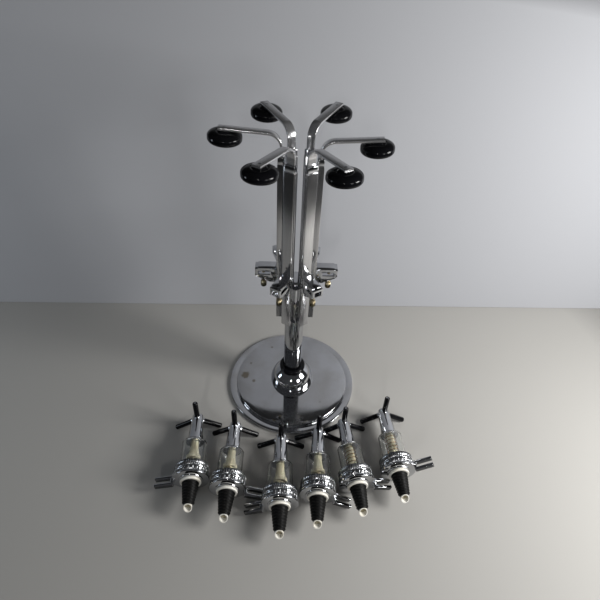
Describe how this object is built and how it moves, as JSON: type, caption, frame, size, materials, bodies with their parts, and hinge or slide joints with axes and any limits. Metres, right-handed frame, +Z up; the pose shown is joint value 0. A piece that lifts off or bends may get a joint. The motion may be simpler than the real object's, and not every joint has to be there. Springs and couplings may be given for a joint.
{
  "type": "rotary shot dispenser stand",
  "caption": "Rotary bar stand that holds upturned bottles between sliding spring arms and clamp blocks, with loose plunger measures that fork onto the blocks.",
  "frame": {"origin": "the middle of the base disc's underside", "axes": "+Z up along the column, +Y away from the camera, +X to the right in the picture; station 1 is at +X and the measures lie on the -Y side"},
  "size_m": [0.4381, 0.4181, 0.5013],
  "materials": {
    "chrome": "bright plated",
    "satin_aluminium": "satin, drawn along its length",
    "black_plastic": "gloss, moulded",
    "black_rubber": "matt, ribbed",
    "ivory_plastic": "satin, moulded",
    "clear_plastic": "clear, gloss",
    "brass": "aged",
    "spring_steel": "drawn wire, brownish"
  },
  "bodies": {
    "base": {"base_plate": "chrome", "hub_dome": "chrome", "bearing_collar": "black_plastic"},
    "carousel": {"column": "chrome", "upright_1": "satin_aluminium", "upright_2": "satin_aluminium", "upright_3": "satin_aluminium", "upright_4": "satin_aluminium", "upright_5": "satin_aluminium", "upright_6": "satin_aluminium"},
    "arm_1": {"arm_1": "satin_aluminium", "cup_1": "black_plastic"},
    "arm_2": {"arm_2": "satin_aluminium", "cup_2": "black_plastic"},
    "arm_3": {"arm_3": "satin_aluminium", "cup_3": "black_plastic"},
    "arm_4": {"arm_4": "satin_aluminium", "cup_4": "black_plastic"},
    "arm_5": {"arm_5": "satin_aluminium", "cup_5": "black_plastic"},
    "arm_6": {"arm_6": "satin_aluminium", "cup_6": "black_plastic"},
    "screw_1": {"clamp_screw_1": "brass"},
    "screw_2": {"clamp_screw_2": "brass"},
    "screw_3": {"clamp_screw_3": "brass"},
    "screw_4": {"clamp_screw_4": "brass"},
    "screw_5": {"clamp_screw_5": "brass"},
    "screw_6": {"clamp_screw_6": "brass"},
    "measure_1": {"measure_1_collar": "chrome", "measure_1_chamber": "clear_plastic", "measure_1_valve": "ivory_plastic", "measure_1_stopper": "black_rubber"},
    "push_1": {"measure_1_actuator": "chrome"},
    "measure_2": {"measure_2_collar": "chrome", "measure_2_chamber": "clear_plastic", "measure_2_valve": "ivory_plastic", "measure_2_stopper": "black_rubber"},
    "push_2": {"measure_2_actuator": "chrome"},
    "measure_3": {"measure_3_collar": "chrome", "measure_3_chamber": "clear_plastic", "measure_3_valve": "ivory_plastic", "measure_3_stopper": "black_rubber"},
    "push_3": {"measure_3_actuator": "chrome"},
    "measure_4": {"measure_4_collar": "chrome", "measure_4_chamber": "clear_plastic", "measure_4_valve": "ivory_plastic", "measure_4_stopper": "black_rubber"},
    "push_4": {"measure_4_actuator": "chrome"},
    "measure_5": {"measure_5_collar": "chrome", "measure_5_chamber": "clear_plastic", "measure_5_valve": "ivory_plastic", "measure_5_stopper": "black_rubber", "measure_5_spring": "spring_steel"},
    "push_5": {"measure_5_actuator": "chrome"},
    "measure_6": {"measure_6_collar": "chrome", "measure_6_chamber": "clear_plastic", "measure_6_valve": "ivory_plastic", "measure_6_stopper": "black_rubber", "measure_6_spring": "spring_steel"},
    "push_6": {"measure_6_actuator": "chrome"}
  },
  "joints": [
    {"name": "stand_turn", "type": "hinge", "parent": "base", "child": "carousel", "pos_m": [0, 0, 0.0452], "axis": [0, 0, 1], "continuous": true},
    {"name": "arm_1_slide", "type": "slide", "parent": "carousel", "child": "arm_1", "axis": [0, 0, 1], "range_m": [0, 0.13], "stiffness_N_per_m": 60, "springref_m": -0.05},
    {"name": "arm_2_slide", "type": "slide", "parent": "carousel", "child": "arm_2", "axis": [0, 0, 1], "range_m": [0, 0.13], "stiffness_N_per_m": 60, "springref_m": -0.05},
    {"name": "arm_3_slide", "type": "slide", "parent": "carousel", "child": "arm_3", "axis": [0, 0, 1], "range_m": [0, 0.13], "stiffness_N_per_m": 60, "springref_m": -0.05},
    {"name": "arm_4_slide", "type": "slide", "parent": "carousel", "child": "arm_4", "axis": [0, 0, 1], "range_m": [0, 0.13], "stiffness_N_per_m": 60, "springref_m": -0.05},
    {"name": "arm_5_slide", "type": "slide", "parent": "carousel", "child": "arm_5", "axis": [0, 0, 1], "range_m": [0, 0.13], "stiffness_N_per_m": 60, "springref_m": -0.05},
    {"name": "arm_6_slide", "type": "slide", "parent": "carousel", "child": "arm_6", "axis": [0, 0, 1], "range_m": [0, 0.13], "stiffness_N_per_m": 60, "springref_m": -0.05},
    {"name": "screw_1_turn", "type": "hinge", "parent": "carousel", "child": "screw_1", "pos_m": [0.0505, 0, 0.273], "axis": [0, 0, 1], "range_deg": [0, 1080]},
    {"name": "screw_2_turn", "type": "hinge", "parent": "carousel", "child": "screw_2", "pos_m": [0.02525, 0.04373, 0.273], "axis": [0, 0, 1], "range_deg": [0, 1080]},
    {"name": "screw_3_turn", "type": "hinge", "parent": "carousel", "child": "screw_3", "pos_m": [-0.02525, 0.04373, 0.273], "axis": [0, 0, 1], "range_deg": [0, 1080]},
    {"name": "screw_4_turn", "type": "hinge", "parent": "carousel", "child": "screw_4", "pos_m": [-0.0505, 0, 0.273], "axis": [0, 0, 1], "range_deg": [0, 1080]},
    {"name": "screw_5_turn", "type": "hinge", "parent": "carousel", "child": "screw_5", "pos_m": [-0.02525, -0.04373, 0.273], "axis": [0, 0, 1], "range_deg": [0, 1080]},
    {"name": "screw_6_turn", "type": "hinge", "parent": "carousel", "child": "screw_6", "pos_m": [0.02525, -0.04373, 0.273], "axis": [0, 0, 1], "range_deg": [0, 1080]},
    {"name": "measure_1_lift", "type": "slide", "parent": "base", "child": "measure_1", "axis": [-0.2696, 0, 0.963], "range_m": [0, 0.15]},
    {"name": "measure_1_push", "type": "slide", "parent": "measure_1", "child": "push_1", "axis": [0.0575, -0.998, 0.0263], "range_m": [0, 0.006], "stiffness_N_per_m": 300, "springref_m": -0.008},
    {"name": "measure_2_lift", "type": "slide", "parent": "base", "child": "measure_2", "axis": [-0.2696, 0, 0.963], "range_m": [0, 0.15]},
    {"name": "measure_2_push", "type": "slide", "parent": "measure_2", "child": "push_2", "axis": [-0.014, -0.9996, 0.0263], "range_m": [0, 0.006], "stiffness_N_per_m": 300, "springref_m": -0.008},
    {"name": "measure_3_lift", "type": "slide", "parent": "base", "child": "measure_3", "axis": [-0.2696, 0, 0.963], "range_m": [0, 0.15]},
    {"name": "measure_3_push", "type": "slide", "parent": "measure_3", "child": "push_3", "axis": [0.0087, -0.9996, 0.0263], "range_m": [0, 0.006], "stiffness_N_per_m": 300, "springref_m": -0.008},
    {"name": "measure_4_lift", "type": "slide", "parent": "base", "child": "measure_4", "axis": [-0.2696, 0, 0.963], "range_m": [0, 0.15]},
    {"name": "measure_4_push", "type": "slide", "parent": "measure_4", "child": "push_4", "axis": [-0.0419, -0.9988, 0.0263], "range_m": [0, 0.006], "stiffness_N_per_m": 300, "springref_m": -0.008},
    {"name": "measure_5_lift", "type": "slide", "parent": "base", "child": "measure_5", "axis": [-0.2696, 0, 0.963], "range_m": [0, 0.15]},
    {"name": "measure_5_push", "type": "slide", "parent": "measure_5", "child": "push_5", "axis": [0.1184, -0.9926, 0.0263], "range_m": [0, 0.006], "stiffness_N_per_m": 300, "springref_m": -0.008, "deforming": ["measure_5_spring"]},
    {"name": "measure_6_lift", "type": "slide", "parent": "base", "child": "measure_6", "axis": [0, 0, 1], "range_m": [0, 0.15]},
    {"name": "measure_6_push", "type": "slide", "parent": "measure_6", "child": "push_6", "axis": [0.0767, -0.9967, 0.0263], "range_m": [0, 0.006], "stiffness_N_per_m": 300, "springref_m": -0.008, "deforming": ["measure_6_spring"]}
  ]
}
